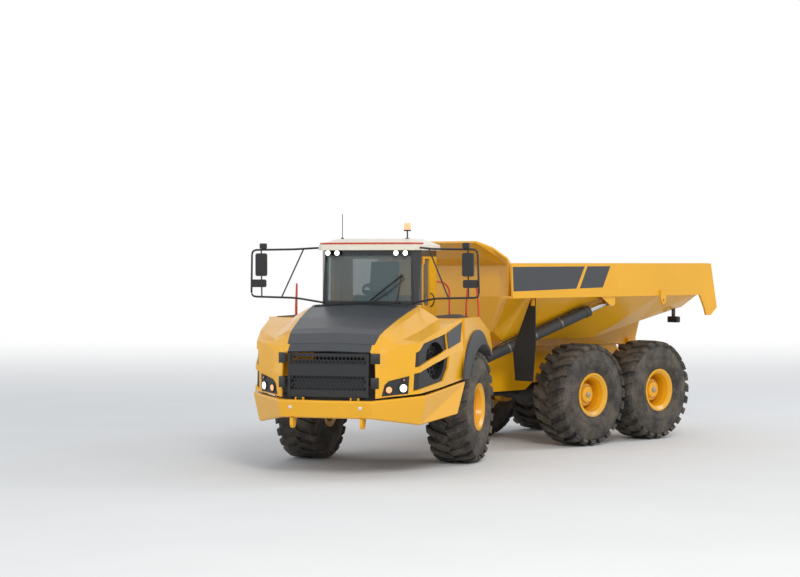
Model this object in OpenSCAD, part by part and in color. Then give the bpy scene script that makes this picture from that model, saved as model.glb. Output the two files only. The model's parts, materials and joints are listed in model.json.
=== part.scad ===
// Articulated dump truck, 45 tonne class, standing with its steering turned as it was parked.
// Millimetres. +X runs forward along the rear frame, +Y to the left, +Z up, and the ground is Z = 0.
// The rear unit is drawn along X. The front unit is drawn straight in its own frame, whose
// origin is on the ground under the steering pin, and is then turned about that pin.

/* [Stance] */
// Steering angle of the front unit, positive to the left
steer_angle = 29; // [-45:1:45]
// Steering pin to front axle
hinge_to_front_axle = 1400; // [1350:10:1500]
// Steering pin to first bogie axle
hinge_to_bogie = 3110; // [3050:10:3250]
// Distance between the two bogie axles
bogie_spread = 1940; // [1920:10:2050]
// Wheel track, centre of tread to centre of tread
track = 2636; // [2600:2:2680]

/* [Wheels] */
// Outer diameter of the tyre over its lugs
tyre_d = 1870; // [1800:10:1900]
// Section width of the tyre
tyre_w = 750; // [700:10:760]
// Height of the lugs
lug_height = 48; // [30:1:60]
// Width of one lug around the tyre
lug_width = 118; // [90:1:140]
// Skew of the lugs against the axle
lug_skew = 24; // [10:1:30]
// Lugs around each half of the tread
lug_count = 24; // [20:1:28]
// Outer diameter of the rim flange
rim_flange_d = 800; // [760:5:840]
// Diameter of the tyre's bead seat
bead_d = 660; // [640:5:700]
// Width over the rim flanges
rim_w = 640; // [600:5:660]
// Wall of the rim's well
rim_wall = 26; // [15:1:40]
// Diameter of the planetary hub
hub_d = 430; // [360:5:460]

/* [Dump body] */
// Height of the side rails' top edge
rail_top_z = 3340; // [3250:10:3400]
// Depth of the side rails
rail_depth = 610; // [500:10:660]
// Half width over the side rails
rail_y = 1690; // [1600:5:1720]
// How far the side plates stand in from the rails
rail_inset = 285; // [250:5:320]
// Height of the underside of the flat floor
floor_z = 1930; // [1900:5:1990]
// Wall thickness of the body's plates
body_plate = 40; // [20:1:60]
// Rise of the tail chute's underside at its end
chute_rise = 540; // [450:10:600]
// Height of the spill guard's front lip
guard_z = 3720; // [3650:10:3780]
// How far the spill guard's lip stands ahead of the front wall
guard_reach = 560; // [400:10:600]

/* [Cab] */
// Half width of the cab
cab_y = 865; // [840:5:900]
// Position of the windscreen's corners ahead of the steering pin
cab_front_x = 2340; // [2300:5:2380]
// Position of the cab's rear wall
cab_rear_x = 1270; // [1240:5:1330]
// Height of the cab's floor underside
cab_floor_z = 2180; // [2100:10:2250]
// Height of the underside of the roof
cab_top_z = 3560; // [3500:10:3600]
// Thickness of the cab's walls and door
cab_wall = 60; // [45:1:80]
// Thickness of the glass
glass_t = 10; // [6:1:14]

/* [Bodywork] */
// Position of the bumper's front face
bumper_x = 4540; // [4450:10:4600]
// Half width of the hood's dark centre panel at the windscreen
hood_y = 905; // [880:5:930]
// Thickness of the hood and wing panels
panel_t = 30; // [20:1:40]
// Height of the wings' decks
deck_z = 2450; // [2420:5:2470]
// Radius of the arch over the front wheel
arch_r = 1110; // [1080:5:1130]
// Radius of the flare's outer edge
flare_r = 890; // [860:5:900]
// Diameter of the fans in the hood's sides
fan_d = 590; // [540:10:610]
// Width of one cell of the grille's mesh
mesh_pitch = 62; // [50:2:80]

/* [Cylinders] */
// Outer diameter of a hoist cylinder
hoist_d = 190; // [160:5:210]
// Diameter of a hoist rod
hoist_rod_d = 110; // [80:5:120]
// Outer diameter of a steering cylinder
steer_cyl_d = 110; // [90:5:125]

/* [Hidden] */
$fn = 64;

yellow = [0.93, 0.68, 0.08];
charcoal = [0.22, 0.23, 0.24];
black = [0.08, 0.08, 0.08];
rail_red = [0.85, 0.22, 0.10];

// The steering pin in the row frame, whose origin is under the middle of the whole machine
hinge = [1228, -716, 0];
axle_z = tyre_d / 2;
wheel_y = track / 2;
run_gap = 8;
seat_gap = 0.3;

// Places a piece of the rear unit, drawn with the steering pin at the origin
module rear_unit() translate(hinge) children();

// Places a piece of the front unit, turned about the steering pin
module front_unit() translate(hinge) rotate([0, 0, steer_angle]) children();

// Both hands of a piece drawn on the left
module both_sides() {
    children();
    mirror([0, 1, 0]) children();
}

// A plate whose outline is given in X and Z, from y0 to y0 + w
module side_plate(outline, y0, w) side_profile(y0, w) polygon(outline);

// The same for any flat shape drawn in X and Z
module side_profile(y0, w) translate([0, y0 + w, 0]) rotate([90, 0, 0]) linear_extrude(w) children();

// A round bar along Y, centred on y = 0
module cross_bar(x, z, d, w) translate([x, 0, z]) rotate([90, 0, 0])
    cylinder(d = d, h = w, center = true);

function unit(v) = v / max(norm(v), 1e-9);
function grid_normal(g, k, i) =
    let (k0 = max(k - 1, 0), k1 = min(k + 1, len(g) - 1),
         i0 = max(i - 1, 0), i1 = min(i + 1, len(g[0]) - 1))
    unit(cross(g[k1][i] - g[k0][i], g[k][i1] - g[k][i0]));

// A sheet of even thickness under a grid of points, thickened against the grid's normal, or along drop
module thick_sheet(grid, thick, drop = undef) {
    t = abs(thick);
    g = thick > 0 ? grid : [for (r = grid) [for (i = [len(r) - 1 : -1 : 0]) r[i]]];
    n = len(g);
    m = len(g[0]);
    outer = [for (k = [0 : n - 1]) for (i = [0 : m - 1]) g[k][i]];
    inner = [for (k = [0 : n - 1]) for (i = [0 : m - 1])
        is_undef(drop) ? g[k][i] - t * grid_normal(g, k, i) : g[k][i] + drop];
    function a(k, i) = k * m + i;
    function b(k, i) = n * m + k * m + i;
    polyhedron(concat(outer, inner), concat(
        [for (k = [0 : n - 2]) for (i = [0 : m - 2]) for (f = [
            [a(k, i), a(k, i + 1), a(k + 1, i + 1)], [a(k, i), a(k + 1, i + 1), a(k + 1, i)],
            [b(k, i), b(k + 1, i + 1), b(k, i + 1)], [b(k, i), b(k + 1, i), b(k + 1, i + 1)]]) f],
        [for (k = [0 : n - 2]) for (f = [
            [a(k, 0), a(k + 1, 0), b(k + 1, 0)], [a(k, 0), b(k + 1, 0), b(k, 0)],
            [a(k, m - 1), b(k + 1, m - 1), a(k + 1, m - 1)],
            [a(k, m - 1), b(k, m - 1), b(k + 1, m - 1)]]) f],
        [for (i = [0 : m - 2]) for (f = [
            [a(0, i), b(0, i + 1), a(0, i + 1)], [a(0, i), b(0, i), b(0, i + 1)],
            [a(n - 1, i), a(n - 1, i + 1), b(n - 1, i + 1)],
            [a(n - 1, i), b(n - 1, i + 1), b(n - 1, i)]]) f]));
}

// A solid between closed convex outlines of equal point counts, stacked bottom to top
module stacked_loft(s) {
    n = len(s);
    m = len(s[0]);
    polyhedron([for (k = [0 : n - 1]) for (i = [0 : m - 1]) s[k][i]], concat(
        [for (k = [0 : n - 2]) for (i = [0 : m - 1]) for (f = [
            [k * m + i, (k + 1) * m + i, (k + 1) * m + (i + 1) % m],
            [k * m + i, (k + 1) * m + (i + 1) % m, k * m + (i + 1) % m]]) f],
        [[for (i = [0 : m - 1]) i]], [[for (i = [m - 1 : -1 : 0]) (n - 1) * m + i]]));
}

// A bent tube along a path, with rounded corners
function bend(p, r) = [for (i = [0 : len(p) - 1])
    for (q = (i == 0 || i == len(p) - 1) ? [p[i]] :
        let (u = unit(p[i - 1] - p[i]), v = unit(p[i + 1] - p[i]),
             c = min(r, norm(p[i - 1] - p[i]) * 0.45, norm(p[i + 1] - p[i]) * 0.45))
        [for (s = [0 : 3]) let (f = s / 3)
            (1 - f) * (1 - f) * (p[i] + c * u) + 2 * f * (1 - f) * p[i] + f * f * (p[i] + c * v)]) q];
function along(p, i) = unit(p[min(i + 1, len(p) - 1)] - p[max(i - 1, 0)]);
module bent_tube(corners, d, r = 90, sides = 8) {
    p = bend(corners, r);
    next = len(corners) > 2 ? corners[2] - corners[1] + [0.01, 0.02, 0.03] : [0.3, 0.5, 0.8];
    ref = unit(cross(corners[1] - corners[0], next));
    rings = [for (i = [0 : len(p) - 1])
        let (t = along(p, i), e = unit(ref - (ref * t) * t), h = cross(t, e))
        for (a = [0 : sides - 1]) p[i] + d / 2 * (cos(a * 360 / sides) * e + sin(a * 360 / sides) * h)];
    n = len(p);
    polyhedron(rings, concat(
        [for (k = [0 : n - 2]) for (a = [0 : sides - 1]) for (f = [
            [k * sides + a, (k + 1) * sides + a, (k + 1) * sides + (a + 1) % sides],
            [k * sides + a, (k + 1) * sides + (a + 1) % sides, k * sides + (a + 1) % sides]]) f],
        [[for (a = [0 : sides - 1]) a]], [[for (a = [sides - 1 : -1 : 0]) (n - 1) * sides + a]]));
}

// Wheels: a wheel is drawn about Y with its outer face towards +Y
tyre_r = tyre_d / 2;
carcass_r = tyre_r - lug_height;
module tyre() color(black) {
    $fn = 128;
    shoulder = tyre_w / 2;
    rotate([-90, 0, 0]) rotate_extrude() polygon([
        [bead_d / 2, -rim_w / 2 + 25], [rim_flange_d / 2 + 1, -rim_w / 2 + 5],
        [rim_flange_d / 2 + 10, -rim_w / 2 - 5], [rim_flange_d / 2 + 130, -shoulder],
        [rim_flange_d / 2 + 250, -shoulder],
        [carcass_r - 70, -shoulder + 45], [carcass_r, -shoulder + 130],
        [carcass_r, shoulder - 130], [carcass_r - 70, shoulder - 45],
        [rim_flange_d / 2 + 250, shoulder], [rim_flange_d / 2 + 130, shoulder],
        [rim_flange_d / 2 + 10, rim_w / 2 + 5], [rim_flange_d / 2 + 1, rim_w / 2 - 5],
        [bead_d / 2, rim_w / 2 - 25]]);
    intersection() {
        for (side = [-1, 1], i = [0 : lug_count - 1])
            rotate([0, (i + side / 4) * 360 / lug_count, 0])
                translate([0, side * 190, tyre_r - 100])
                    rotate([0, 0, side * lug_skew])
                        cube([lug_width, 420, 200], center = true);
        rotate([-90, 0, 0]) rotate_extrude() polygon([
            [carcass_r - 60, -shoulder + 35], [tyre_r - 60, -shoulder + 12],
            [tyre_r - 14, -shoulder + 70], [tyre_r, -150], [tyre_r, 150],
            [tyre_r - 14, shoulder - 70], [tyre_r - 60, shoulder - 12],
            [carcass_r - 60, shoulder - 35]]);
    }
}

// The rim: band with its flanges, the dished disc and the planetary hub, all turned about the axle
disc_z = -60;
hub_z = 150;
module rim() color(yellow) rotate([-90, 0, 0]) {
    flange = rim_flange_d / 2;
    edge = rim_w / 2;
    seat = bead_d / 2 - seat_gap;
    well = seat - rim_wall;
    rotate_extrude() polygon([
        [well, -edge], [flange, -edge - 12], [flange, -edge + 4], [seat, -edge + 24],
        [seat, edge - 24], [flange, edge - 4], [flange, edge + 12], [flange - 30, edge + 12],
        [well + 12, edge - 30], [well - 12, edge - 120], [well - 16, disc_z + 60], [well, disc_z]]);
    rotate_extrude() polygon([
        [0, disc_z], [well + 1, disc_z], [well + 1, disc_z + 44], [well - 40, disc_z + 34],
        [hub_d / 2 + 42, disc_z + 34], [hub_d / 2 + 34, disc_z + 62], [hub_d / 2, disc_z + 62],
        [hub_d / 2 - 6, hub_z - 16], [hub_d / 2 - 22, hub_z], [hub_d / 2 - 60, hub_z],
        [hub_d / 2 - 74, hub_z + 44], [hub_d / 4, hub_z + 52], [0, hub_z + 52]]);
}

module wheel_at(x, side) translate([x, side * wheel_y, axle_z]) rotate([0, 0, side > 0 ? 0 : 180])
    children();

// Rear unit
frame_y = 470;
mid_x = -hinge_to_bogie - bogie_spread / 2;
tip_x = -5560;
tip_z = 1790;
frame_top = 1780;
trunnion_z = axle_z + 75;
hitch_z = 1140;
house_x = -880;
hoist_foot = [-900, 800, 1580];
hoist_eye = [-3640, 1550, 2630];
module rear_frame() color(yellow) difference() {
    union() {
        both_sides() side_plate([[-760, 1000], [-760, 1450], [-1400, frame_top],
            [tip_x + 380, frame_top], [tip_x + 260, 1630], [tip_x - 180, 1630], [tip_x - 200, 1560],
            [tip_x - 200, 1300], [tip_x + 60, 1130], [-2750, 1130], [-2550, 1000]],
            frame_y - 130, 130);
        for (x = [-1500, -2450, mid_x, tip_x - 40]) translate([x, 0, 1370])
            cube([220, 2 * frame_y - 40, 440], center = true);
        translate([house_x, -frame_y + 130, 820]) cube([160, 2 * frame_y - 260, 640]);
        // hoist foot brackets
        both_sides() translate([hoist_foot[0] - 130, frame_y - 10, 1380])
            cube([260, hoist_foot[1] - frame_y - 60, 200]);
        both_sides() side_plate([[hoist_foot[0] - 130, 1380], [hoist_foot[0] - 80, 1660],
            [hoist_foot[0] + 80, 1660], [hoist_foot[0] + 130, 1380]], hoist_foot[1] - 105, 45);
        both_sides() side_plate([[hoist_foot[0] - 130, 1380], [hoist_foot[0] - 95, 1480],
            [hoist_foot[0] - 20, 1640], [hoist_foot[0] + 80, 1660], [hoist_foot[0] + 130, 1380]],
            hoist_foot[1] + 60, 45);
        both_sides() translate([hoist_foot[0] - 130, hoist_foot[1] - 105, 1380]) cube([260, 210, 50]);
        // body hinge ears
        both_sides() for (y = [frame_y - 130, frame_y + 60])
            side_plate([[tip_x - 150, 1500], [tip_x - 110, tip_z + 90], [tip_x + 110, tip_z + 90],
                [tip_x + 170, 1500]], y, 50);
        both_sides() translate([tip_x - 130, frame_y - 20, 1440]) cube([280, 130, 80]);
        cross_bar(tip_x, tip_z, 99, 2 * frame_y + 240);
        // bogie trunnion
        both_sides() translate([mid_x, frame_y + 200, trunnion_z]) rotate([90, 0, 0])
            cylinder(d = 240, h = 330);
        both_sides() side_plate([[mid_x - 260, 1150], [mid_x + 260, 1150],
            [mid_x + 150, trunnion_z - 130], [mid_x - 150, trunnion_z - 130]], frame_y - 130, 130);
    }
    translate([-900, 0, hitch_z]) rotate([0, 90, 0]) cylinder(d = 401, h = 200);
    both_sides() translate([hoist_foot[0], hoist_foot[1], hoist_foot[2]]) sphere(d = 171);
}

module bogie_beams() color(yellow) both_sides() difference() {
    union() {
        side_plate([for (p = [[-970, -85], [-970, 105], [-250, 265], [250, 265], [970, 105], [970, -85],
            [300, -105], [-300, -105]]) [mid_x + p[0], axle_z + p[1]]], frame_y + 30, 150);
        for (x = [-1, 1]) translate([mid_x + x * bogie_spread / 2, frame_y + 180, axle_z])
            rotate([90, 0, 0]) cylinder(d = 470, h = 150);
    }
    cross_bar(mid_x, trunnion_z, 240.6, 3000);
    for (x = [-1, 1]) cross_bar(mid_x + x * bogie_spread / 2, axle_z, 320.6, 3000);
}

module axle_housing() {
    cross_bar(0, axle_z, 320, 2 * (wheel_y - 60 - seat_gap));
    translate([0, 0, axle_z]) sphere(d = 560);
}
module bogie_axles() color(charcoal)
    for (x = [-hinge_to_bogie, -hinge_to_bogie - bogie_spread]) translate([x, 0, 0]) axle_housing();

module driveshaft() color(charcoal) {
    front = house_x - seat_gap;
    rear = -hinge_to_bogie + 280 + seat_gap;
    translate([rear, 0, axle_z]) rotate([0, 90, 0]) cylinder(d = 120, h = front - rear);
    translate([rear - 560 - 2 * seat_gap, 0, axle_z]) rotate([0, -90, 0])
        cylinder(d = 110, h = bogie_spread - 560 - 2 * seat_gap);
}

// Hitch: a tube that rolls in the rear frame's housing, and the knuckle of the steering pins
steer_foot = [-250, 480];
steer_eye = [1100, 370];
steer_z = 1010;
module hitch() color(charcoal) {
    translate([house_x + 2, 0, hitch_z]) rotate([0, 90, 0]) cylinder(d = 400, h = 180);
    translate([-712, 0, hitch_z]) rotate([0, 90, 0]) cylinder(d = 560, h = 72);
    translate([-712, 0, hitch_z]) rotate([0, 90, 0]) cylinder(d = 380, h = 712);
    translate([0, 0, hitch_z - 260]) cylinder(d = 300, h = 520);
    translate([0, 0, hitch_z - 360]) cylinder(d = 159.4, h = 720);
    for (z = [steer_z - 95, steer_z + 65]) translate([0, 0, z])
        linear_extrude(30) polygon([[-60, 100], [-180, 560], [-320, 560], [-420, 100],
            [-420, -100], [-320, -560], [-180, -560], [-60, -100]]);
    both_sides() translate([steer_foot[0], steer_foot[1], steer_z - 95]) cylinder(d = 59.4, h = 190);
}

// Dump body. Each section runs from the rail down to the floor's middle on the left.
// columns: x at the rail, x at the fold, x at the floor, floor height, half width of the floor
rail_bottom_z = rail_top_z - rail_depth;
body_sections = [
    [-850, -1000, -1220, floor_z + 180, 900],
    [-1500, -1500, -1500, floor_z, 860],
    [-4050, -4050, -4050, floor_z, 860],
    [-5300, -5300, -5300, floor_z + chute_rise * 0.53, 960],
    [-6450, -6400, -6300, floor_z + chute_rise * 0.95, 1080],
    [-6610, -6480, -6440, floor_z + chute_rise, 1100]];
fold_y = rail_y - 213;
function body_side(s) = [
    [s[0], rail_y - 70, rail_top_z], [s[1], fold_y, rail_bottom_z + 10],
    [s[2], s[4] + 12, s[3] + 12], [s[2], s[4] - 200, s[3]]];
function mirrored(p) = [for (i = [len(p) - 1 : -1 : 0]) [p[i][0], -p[i][1], p[i][2]]];
// Front wall and spill guard, bottom to top; the columns run from the middle out to the rail
front_wall = [
    [[-1220, 0, floor_z + 185], [-1220, 500, floor_z + 185], [-1220, 800, floor_z + 185],
        [-1220, 890, floor_z + 185]],
    [[-1070, 0, rail_bottom_z + 20], [-1070, 1200, rail_bottom_z + 20],
        [-1030, 1380, rail_bottom_z + 20], [-985, 1470, rail_bottom_z + 20]],
    [[-1050, 0, 3300], [-1050, 1200, 3300], [-960, 1430, 3300], [-850, 1625, 3300]],
    [[-770, 0, 3420], [-770, 1180, 3420], [-790, 1450, 3440], [-800, 1640, 3380]],
    [[-960 + guard_reach, 0, guard_z - 20], [-960 + guard_reach, 1250, guard_z - 20],
        [-640, 1420, 3600], [-780, 1640, 3420]]];
module dump_body() color(yellow) difference() {
    body_plates();
    cross_bar(tip_x, tip_z, 99.8, 2 * frame_y + 300);
}
module body_plates() {
    thick_sheet([for (s = body_sections) concat(body_side(s), mirrored(body_side(s)))], -body_plate);
    both_sides() {
        thick_sheet(front_wall, -body_plate);
        side_plate([[-850, rail_top_z], [-880, rail_bottom_z], [-6270, rail_bottom_z],
            [-6420, rail_bottom_z - 250],
            [-6480, rail_bottom_z - 400], [-6620, rail_bottom_z - 400], [-6820, rail_bottom_z - 250],
            [-6620, rail_top_z]], rail_y - 40, 40);
        side_plate([[-870, rail_bottom_z], [-870, rail_bottom_z + 40], [-6380, rail_bottom_z + 40],
            [-6300, rail_bottom_z]], fold_y - 30, rail_y - fold_y + 10);
        side_plate([[-850, rail_top_z - 40], [-850, rail_top_z], [-6620, rail_top_z],
            [-6620, rail_top_z - 40]], rail_y - 110, 100);
        // runners that rest over the frame, and the hinge ears
        side_plate([[body_sections[1][2], frame_top + run_gap],
            [body_sections[1][2] + 100, floor_z + 20],
            [body_sections[2][2], floor_z + 20], [body_sections[3][2], body_sections[3][3] + 20],
            [-5900, floor_z + chute_rise * 0.75], [tip_x - 130, tip_z - 60], [tip_x - 60, tip_z - 120],
            [tip_x + 60, tip_z - 120], [tip_x + 130, tip_z - 40], [tip_x + 380, frame_top + run_gap]],
                frame_y - 70, 120);
        // hoist eye brackets
        translate([hoist_eye[0], 0, hoist_eye[2]]) {
            up = rail_bottom_z + 5 - hoist_eye[2];
            side_plate([[-300, up], [-80, -30], [-40, -45], [40, -45], [45, up]],
                hoist_eye[1] - 95, 30);
            side_plate([[-75, up], [-75, -30], [-50, -70], [50, -70], [310, up]],
                hoist_eye[1] + 78, 30);
        }
    }
}

side_eye_x = -5085;
module side_eyes() color(yellow) both_sides() difference() {
    side_plate([for (p = [[85, 100], [75, -100], [25, -160], [-25, -160], [-75, -100], [-85, 100]])
        [side_eye_x + p[0], rail_bottom_z + p[1]]], rail_y + seat_gap, 30);
    cross_bar(side_eye_x, rail_bottom_z - 90, 64, 4000);
}

module splash_flaps() color(black) both_sides()
    translate([-1520, 0, 0]) rotate([90, 0, 90]) linear_extrude(20) polygon([
        [1560, rail_bottom_z - seat_gap], [1655, rail_bottom_z - seat_gap], [1660, 1900],
        [1600, 1250], [1180, 1250], [1130, 1760], [1240, 2050]]);

// Hoist cylinders, drawn along X from the foot's ball
hoist_v = hoist_eye - hoist_foot;
hoist_len = norm(hoist_v);
module on_hoist(side) translate([hoist_foot[0], side * hoist_foot[1], hoist_foot[2]])
    rotate([0, 0, side * atan2(hoist_v[1], hoist_v[0])])
        rotate([0, -asin(hoist_v[2] / hoist_len), 0]) children();
module hoist_barrel() color(charcoal) difference() {
    union() {
        rotate([0, 90, 0]) sphere(d = 170);
        rotate([0, 90, 0]) cylinder(d = 84, h = 210);
        translate([200, 0, 0]) rotate([0, 90, 0]) cylinder(d = hoist_d, h = hoist_len - 700);
        translate([hoist_len - 560, 0, 0]) rotate([0, 90, 0]) cylinder(d = hoist_d + 16, h = 100);
    }
    translate([240, 0, 0]) rotate([0, 90, 0]) cylinder(d = hoist_rod_d + 0.6, h = hoist_len);
}
module hoist_rod() color([0.7, 0.7, 0.72]) {
    translate([260, 0, 0]) rotate([0, 90, 0]) cylinder(d = hoist_rod_d, h = hoist_len - 430);
    translate([hoist_len - 180, 0, 0]) rotate([0, 90, 0]) cylinder(d = 86, h = 120);
    translate([hoist_len, 0, 0]) rotate([90, 0, 0]) cylinder(d = 160, h = 96, center = true);
}

// Steering cylinders, from the hitch's clevis to the front frame's
function steer_end(side) = [steer_eye[0] * cos(steer_angle) - side * steer_eye[1] * sin(steer_angle),
                            steer_eye[0] * sin(steer_angle) + side * steer_eye[1] * cos(steer_angle)];
function steer_vec(side) = steer_end(side) - [steer_foot[0], side * steer_foot[1]];
module on_steer(side) translate([steer_foot[0], side * steer_foot[1], steer_z])
    rotate([0, 0, atan2(steer_vec(side)[1], steer_vec(side)[0])]) children();
steer_barrel_len = 860;
module steer_barrel() color(charcoal) difference() {
    union() {
        cylinder(d = 120, h = 110, center = true);
        rotate([0, 90, 0]) cylinder(d = steer_cyl_d, h = steer_barrel_len);
    }
    cylinder(d = 60, h = 300, center = true);
    translate([100, 0, 0]) rotate([0, 90, 0]) cylinder(d = 60.6, h = 2000);
}
module steer_rod(side) color([0.7, 0.7, 0.72]) {
    reach = norm(steer_vec(side));
    start = min(reach - 760, steer_barrel_len - 60);
    translate([start, 0, 0]) rotate([0, 90, 0]) cylinder(d = 60, h = reach - start - 20);
    translate([reach, 0, 0]) cylinder(d = 110, h = 90, center = true);
}

// Front unit
rail_top = 1400;
rail_low = 1120;
module front_frame() color(charcoal) difference() {
    union() {
        both_sides() side_plate([[620, rail_low], [620, rail_top], [4050, rail_top], [4200, 1250],
            [4200, rail_low]], 330, 100);
        for (x = [620, 2300, 4000]) translate([x, -335, rail_low]) cube([100, 670, 240]);
        for (z = [hitch_z - 260 - 8 - 80, hitch_z + 260 + 8]) hull() {
            translate([0, 0, z]) cylinder(d = 330, h = 80);
            translate([330, -165, z]) cube([90, 330, 80]);
        }
        translate([240, -165, hitch_z - 348]) cube([180, 330, 696]);
        translate([400, -430, rail_low]) cube([230, 860, rail_top - rail_low]);
        // steering clevises under the rails
        both_sides() translate([steer_eye[0] - 130, steer_eye[1] - 155, 0]) {
            for (z = [steer_z - 80, steer_z + 55]) translate([0, 0, z]) cube([230, 225, 25]);
            translate([0, 0, steer_z - 80]) cube([230, 20, 160]);
            translate([0, 115, steer_z + 75]) cube([230, 100, 60]);
        }
        // bulkheads that carry the cab and the wings
        for (x = [cab_rear_x + 30, cab_front_x + 20]) translate([x, -900, rail_top])
            cube([60, 1800, cab_floor_z - seat_gap - rail_top]);
        hood_arms();
    }
    translate([0, 0, 500]) cylinder(d = 160, h = 1200);
}

// Arms from the bulkhead to the hood's hinge pins
module hood_arms() both_sides() {
    side_plate([[2365, 2090], [2420, 2090], [hood_pin[0] + 14, hood_pin[1] - 8],
        [hood_pin[0] + 10, hood_pin[1] + 12], [hood_pin[0] - 10, hood_pin[1] + 12]], 602, 20);
    translate([hood_pin[0], 622, hood_pin[1]]) rotate([90, 0, 0]) cylinder(d = 19.4, h = 66);
}

module front_axle() color(charcoal) translate([hinge_to_front_axle, 0, 0]) {
    axle_housing();
    both_sides() translate([0, 390, axle_z]) cylinder(d = 150, h = rail_low - seat_gap - axle_z);
}

module engine() color(charcoal) translate([2480, -330 + seat_gap, 1180])
    cube([1480, 660 - 2 * seat_gap, 900]);

// Bumper: one row per corner of its plan, from the middle to the rear of the left side
// columns: top x, top y, top z, bottom x, bottom y, bottom z
bumper_rows = [
    [bumper_x, 0, 1215, bumper_x - 50, 0, 950],
    [bumper_x, 760, 1220, bumper_x - 50, 750, 950],
    [bumper_x - 670, 1430, 1280, bumper_x - 680, 1340, 820],
    [bumper_x - 2040, 1690, 1420, bumper_x - 1700, 1660, 920]];
function bumper_row(r, s) = [
    [r[0] - 130, s * (r[1] - 60), r[2] + 10], [r[0] - 20, s * r[1], r[2] + 10],
        [r[0], s * r[1], r[2] - 20],
    [r[3], s * r[4], r[5] + 20], [r[3] - 40, s * max(r[4] - 30, 0), r[5]]];
module bumper() color(yellow) {
    thick_sheet(concat([for (k = [3 : -1 : 1]) bumper_row(bumper_rows[k], -1)],
        [for (k = [0 : 3]) bumper_row(bumper_rows[k], 1)]), -25);
    // hinge lugs and pins of the grille panel
    both_sides() {
        for (y = [380, 500]) side_plate([[grille_foot[0] - 26, 1205], [grille_foot[0] - 26, 1268],
            [grille_foot[0] + 26, 1268], [grille_foot[0] + 26, 1205]], y, 20);
        translate([grille_foot[0], 510, grille_foot[1]]) rotate([90, 0, 0]) cylinder(d = 19.4, h = 120);
    }
    both_sides() translate([4200 + seat_gap, 330, 980]) cube([290, 100, 220]);
}

lug_x = 4405;
lug_z = 865;
module tow_lugs() color(charcoal) both_sides() difference() {
    side_plate([for (p = [[-105, 85 - seat_gap], [75, 85 - seat_gap], [75, -25], [35, -75], [-35, -75],
        [-75, -25]]) [lug_x + p[0], lug_z + p[1]]], 545, 50);
    cross_bar(lug_x, lug_z, 60, 3000);
}

// Wings: the outer half slopes down behind the deck, the inner half carries the platform beside the cab
wing_in = 900 + seat_gap;
wing_mid = 1130;
wing_front = 2500;
wing_outer = [[wing_front, 1470], [wing_front, deck_z], [1560, deck_z], [850, deck_z - 260],
    [700, deck_z - 490], [660, 1700]];
wing_inner = [[wing_front, 1470], [wing_front, deck_z], [580, deck_z], [580, deck_z - 120],
    [760, deck_z - 300], [760, 1700]];
module wings() color(yellow) both_sides() difference() {
    union() {
        side_plate(wing_outer, wing_mid, rail_y - wing_mid);
        side_plate(wing_inner, wing_in, wing_mid + panel_t - wing_in);
    }
    side_plate([[wing_front - panel_t, 1400], [wing_front - panel_t, deck_z - panel_t],
        [1567, deck_z - panel_t], [872, deck_z - 285], [730, deck_z - 497], [690, 1690], [690, 1400]],
        wing_mid + panel_t, rail_y - wing_mid - 2 * panel_t);
    side_plate([[wing_front - panel_t, 1400], [wing_front - panel_t, deck_z - panel_t],
        [610, deck_z - panel_t],
        [610, deck_z - 105], [790, deck_z - 288], [790, 1400]], wing_in + panel_t,
            wing_mid - wing_in + 1);
    side_profile(500, 2000) arch_circle(0);
}
arch_gap = 0.8;
arch_lip = 60;
module arch_circle(shrink) translate([hinge_to_front_axle, axle_z])
    circle(r = arch_r - shrink, $fn = 128);

// Flares: a lip that lines the arch, and a crescent on the wing's face
module arch_flares() color(charcoal) both_sides() {
    side_profile(wing_mid + 350, rail_y + 10 - wing_mid - 350) difference() {
        intersection() {
            arch_circle(arch_gap);
            translate([740, 1720]) square([wing_front - 20 - 740, 600]);
        }
        arch_circle(arch_lip);
    }
    side_profile(rail_y + seat_gap, 38) difference() {
        intersection() {
            translate([hinge_to_front_axle + 350, axle_z + 415]) circle(r = flare_r, $fn = 128);
            translate([740, 1470]) square([2000, 900]);
        }
        arch_circle(arch_lip);
    }
}

// Anti-slip decks on the wings, and the ladders behind the front wheels
step_x = 50;
step_run = 370;
module steps() color(charcoal) both_sides() {
    translate([0, 0, deck_z + seat_gap]) linear_extrude(12) polygon([
        [2480, 930], [2480, 1560], [1700, 1545], [1550, 1440], [600, 1110], [600, 930]]);
    for (x = [step_x, step_x + step_run - 30]) translate([x, 960, 700]) cube([30, 30, deck_z - 790]);
    for (z = [720 : 290 : 2170]) translate([step_x, 960, z]) cube([step_run, 150, 30]);
    translate([step_x, 960, deck_z - 120]) cube([580 - step_x - seat_gap, 30, 30]);
}

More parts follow.
